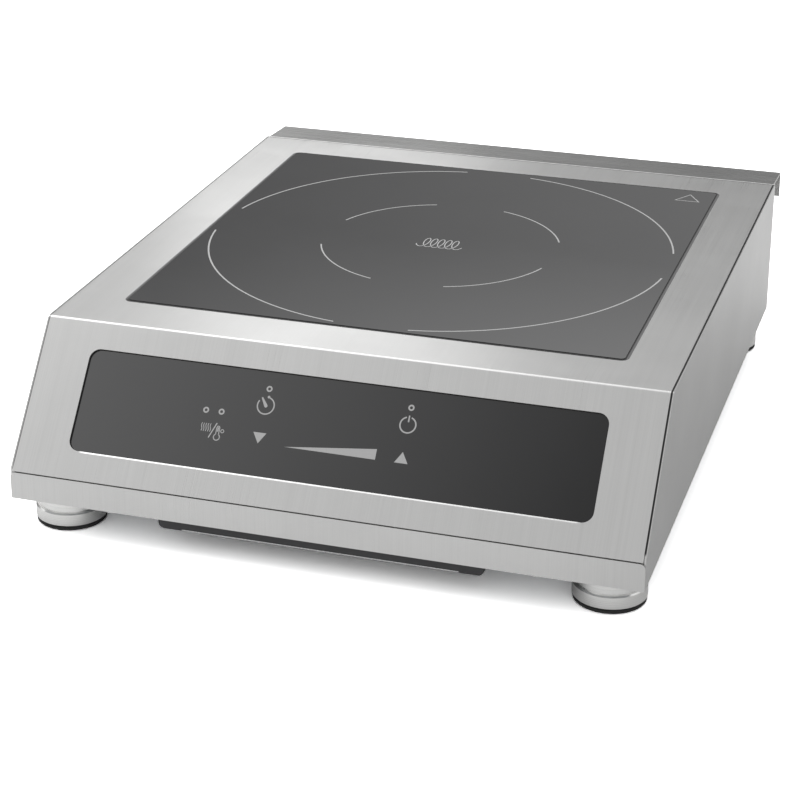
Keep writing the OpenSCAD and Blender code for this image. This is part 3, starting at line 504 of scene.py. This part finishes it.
# power
c = (38.7, 53.2)
p.arc(c, 4.15, 0.75, 72, -252, 70)
p.poly([(c[0] - 0.36, c[1] + 1.5), (c[0] + 0.36, c[1] + 1.5), (c[0] + 0.36, c[1] + 5.0), (c[0] - 0.36, c[1] + 5.0)])
# heat bars
for i in range(5):
    x = -70.4 + 1.2*i
    p.line([(x + 0.28*math.sin(k/8*2*math.pi), 35.8 + 4.4*k/8) for k in range(9)], 0.38)
p.line([(-65.6, 32.6), (-62.4, 40.9)], 0.6)
# thermometer
p.arc((-61.2, 33.4), 1.65, 0.5, 62, -242, 44)
p.line([(-62.0, 34.8), (-62.0, 38.6), (-61.6, 39.3), (-60.8, 39.3), (-60.4, 38.6), (-60.4, 34.8)], 0.45)
p.poly([(-61.55, 36.4), (-60.85, 36.4), (-60.85, 38.7), (-61.55, 38.7)])
p.arc((-58.7, 36.9), 0.85, 0.4, 0, 360, 20)
# triangles and wedge
p.poly([(-41.9, 38.9), (-38.3, 33.1), (-34.7, 38.9)])
p.poly([(35.3, 33.0), (42.5, 33.0), (38.9, 38.9)])
p.poly([(-23.8, 33.2), (25.2, 33.0), (25.2, 38.6)])
p.build("panel_print", M["panel_print"])

# ------------------------------------------------------------------ bright trim strip in the groove of the filter handle
def bar(name, x0, x1, y0, y1, z0, z1, r, mat, body):
    """Long bar along X with rounded long edges and chamfered ends."""
    k = 4
    cy, cz, hy, hz = (y0 + y1)/2, (z0 + z1)/2, (y1 - y0)/2 - r, (z1 - z0)/2 - r
    prof = []
    for q, (sy, sz) in enumerate(((1, 1), (-1, 1), (-1, -1), (1, -1))):
        for i in range(k + 1):
            a = math.radians(90*q + 90*i/k)
            prof.append((sy*hy + r*math.cos(a), sz*hz + r*math.sin(a)))
    verts, faces = [], []
    rings = ((x0, 0.6), (x0 + 0.0004, 1.0), (x1 - 0.0004, 1.0), (x1, 0.6))
    for x, f in rings:
        for py, pz in prof:
            verts.append((x, cy + py*f, cz + pz*f))
    m = len(prof)
    for j in range(len(rings) - 1):
        for i in range(m):
            faces.append((j*m + i, j*m + (i + 1) % m, (j + 1)*m + (i + 1) % m, (j + 1)*m + i))
    faces.append(tuple(range(m))); faces.append(tuple((len(rings) - 1)*m + i for i in reversed(range(m))))
    return make(name, verts, faces, mat, body)
flo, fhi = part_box("filter_frame")
bar("filter_trim_strip", flo.x + 13*MM, fhi.x - 13*MM, flo.y - 0.12*MM, flo.y + 0.38*MM, flo.z + 0.17*MM, flo.z + 0.83*MM, 0.0002, M["screw"], "grease_filter")

# ------------------------------------------------------------------ floor
def floor():
    me = bpy.data.meshes.new("floor")
    s = 6.0
    me.from_pydata([(-s, -s, 0), (s, -s, 0), (s, s, 0), (-s, s, 0)], [], [(0, 1, 2, 3)])
    ob = bpy.data.objects.new("floor", me)
    bpy.context.scene.collection.objects.link(ob)
    m = bpy.data.materials.new("floor_white"); m.use_nodes = True
    nt = m.node_tree; nt.nodes.clear()
    out = nd(nt, "ShaderNodeOutputMaterial")
    lp = nd(nt, "ShaderNodeLightPath")
    df = nd(nt, "ShaderNodeBsdfDiffuse")
    # the sweep is lit brighter than the object for camera rays, as a white sweep is; in reflections it is darker to the
    # right of the object, most towards the front, a painted shadow of the object on the floor
    tc = nd(nt, "ShaderNodeTexCoord")
    sp = nd(nt, "ShaderNodeSeparateXYZ")
    nt.links.new(tc.outputs["Object"], sp.inputs[0])
    # painted shadow: right of the object the floor gets a darker tone for reflections, fading out towards the rear
    side = maprange(nt, sp.outputs[0], 0.0, 1.0, 0.10, 0.30)
    painted_floor_shadow = mixcol(nt, maprange(nt, sp.outputs[1], 0.0, 1.0, 0.0, 0.36), (0.42, 0.42, 0.42), (0.72, 0.72, 0.72))
    refl = mixcol(nt, side, (0.84, 0.84, 0.84), painted_floor_shadow)
    c = mixcol(nt, lp.outputs["Is Camera Ray"], refl, (FLOOR_SEEN, FLOOR_SEEN, FLOOR_SEEN))
    nt.links.new(c, df.inputs["Color"])
    # one-sided: from below the floor is clear, so the underside can be looked at
    ge = nd(nt, "ShaderNodeNewGeometry")
    tr = nd(nt, "ShaderNodeBsdfTransparent")
    ms = nd(nt, "ShaderNodeMixShader")
    nt.links.new(ge.outputs["Backfacing"], ms.inputs[0])
    nt.links.new(df.outputs[0], ms.inputs[1])
    nt.links.new(tr.outputs[0], ms.inputs[2])
    nt.links.new(ms.outputs[0], out.inputs["Surface"])
    me.materials.append(m)
FLOOR_SEEN = 2.1
floor()

# ------------------------------------------------------------------ light
sc = bpy.context.scene
w = bpy.data.worlds.new("studio"); sc.world = w; w.use_nodes = True
w.cycles.sampling_method = "NONE"
nt = w.node_tree
bg = nt.nodes["Background"]
tc = nd(nt, "ShaderNodeTexCoord")
sp = nd(nt, "ShaderNodeSeparateXYZ")
nt.links.new(tc.outputs["Generated"], sp.inputs[0])
X, Y, Z = sp.outputs

def ramp(nt, fac, stops):
    r = nd(nt, "ShaderNodeValToRGB")
    e = r.color_ramp.elements
    while len(e) < len(stops):
        e.new(0.5)
    for q, (pos, v) in zip(e, stops):
        q.position = pos; q.color = (v, v, v, 1)
    nt.links.new(fac, r.inputs[0])
    return r.outputs[0]

# studio walls and ceiling as the polished faces see them: grey low behind, a bright ceiling bank to the left, a card on the front left
rear = ramp(nt, Z, [(0.0, 0.20), (0.20, 0.22), (0.30, 0.27), (0.345, 0.37), (0.39, 0.64), (0.47, 0.86), (0.64, 1.0), (0.78, 1.25), (0.92, 1.3), (0.96, 1.05), (1.0, 0.85)])
rear = mathn(nt, "MULTIPLY", rear, maprange(nt, X, 1.24, 0.74, -0.45, 0.0))
rear = mathn(nt, "ADD", rear, mathn(nt, "MULTIPLY", maprange(nt, Z, 0, 0.75, 0.48, 0.62), maprange(nt, X, 1.0, 0.25, -0.45, 0.0)))
front = maprange(nt, X, 0.85, 0.68, -0.40, -0.19)
front = mathn(nt, "MULTIPLY", front, maprange(nt, Z, 0.85, 1.0, 0.0, 0.5))
ysel = maprange(nt, Y, 0, 1, 0.12, -0.25)
mx = nd(nt, "ShaderNodeMix", data_type="FLOAT")
nt.links.new(ysel, mx.inputs[0]); nt.links.new(rear, mx.inputs[2]); nt.links.new(front, mx.inputs[3])
lp = nd(nt, "ShaderNodeLightPath")
gl = nd(nt, "ShaderNodeMix", data_type="FLOAT")
nt.links.new(lp.outputs["Is Glossy Ray"], gl.inputs[0])
gl.inputs[2].default_value = 1.0
nt.links.new(mx.outputs[0], gl.inputs[3])
cmb = nd(nt, "ShaderNodeCombineColor")
for i in range(3):
    nt.links.new(gl.outputs[0], cmb.inputs[i])
nt.links.new(cmb.outputs[0], bg.inputs[0])
bg.inputs[1].default_value = 1.0

def area(name, loc, target, size, power, sy=None, only=None, grad=None):
    l = bpy.data.lights.new(name, "AREA"); l.energy = power; l.size = size
    if sy: l.shape = "RECTANGLE"; l.size_y = sy
    o = bpy.data.objects.new(name, l); o.location = loc
    o.rotation_euler = (Vector(target) - Vector(loc)).to_track_quat("-Z", "Y").to_euler()
    sc.collection.objects.link(o)
    if only:
        col = bpy.data.collections.new("lit_by_" + name)
        for k in only:
            col.objects.link(N[k])
        o.light_linking.receiver_collection = col
    if grad:
        l.use_nodes = True
        t = l.node_tree
        em = t.nodes["Emission"]
        ge = nd(t, "ShaderNodeNewGeometry")
        s2 = nd(t, "ShaderNodeSeparateXYZ")
        t.links.new(ge.outputs["Parametric"], s2.inputs[0])
        g1 = maprange(t, s2.outputs[0], grad[0], grad[1], 0.0, 1.0)
        if len(grad) > 2:
            g1 = mathn(t, "MULTIPLY", g1, maprange(t, s2.outputs[1], grad[2], grad[3], 0.27, 0.47))
        t.links.new(g1, em.inputs["Strength"])
    return o
area("key", (-0.9, -0.2, 1.5), (0, 0, 0.05), 1.1, 5)
STEEL = ("top_cover", "casing", "rear_ledge")
area("bank_rear_left", (-0.34, 0.80, 0.47), (-0.02, -0.02, 0.10), 0.30, 0.26, 0.22, only=STEEL)
area("card_rear_right", (-0.24, 1.0, 0.60), (-0.24, 0.0, 0.60), 0.75, 1.1, 0.55, only=("glass_plate",), grad=(1.0, 0.0, 0.58, 1.05))
area("card_front_left", (-0.36, -0.77, 0.82), (-0.07, -0.19, 0.06), 0.62, 2.0, 0.5, only=("control_panel",), grad=(1.0, 0.0))

# ------------------------------------------------------------------ camera
F, CX, CY = 2240.6, 368.33, 311.67
az, el, roll = math.radians(17.98), math.radians(21.76), math.radians(-0.13)
back = Vector((math.sin(az)*math.cos(el), -math.cos(az)*math.cos(el), math.sin(el)))
x = Vector((0, 0, 1)).cross(back).normalized(); y = back.cross(x)
xr = x*math.cos(roll) + y*math.sin(roll); yr = -x*math.sin(roll) + y*math.cos(roll)
cam = bpy.data.cameras.new("camera"); co = bpy.data.objects.new("camera", cam); sc.collection.objects.link(co)
cam.sensor_width = 36; cam.lens = F*36/800
cam.shift_x = (400 - CX)/800; cam.shift_y = (CY - 400)/800
loc = Vector((0.9984, -2.8133, 1.5636))*BW + Vector((0, Y0, ZB))
co.matrix_world = Matrix(((xr.x, yr.x, back.x, loc.x), (xr.y, yr.y, back.y, loc.y), (xr.z, yr.z, back.z, loc.z), (0, 0, 0, 1)))
cam.clip_start = 0.01
sc.camera = co
sc.view_settings.view_transform = "Standard"
sc.view_settings.look = "None"
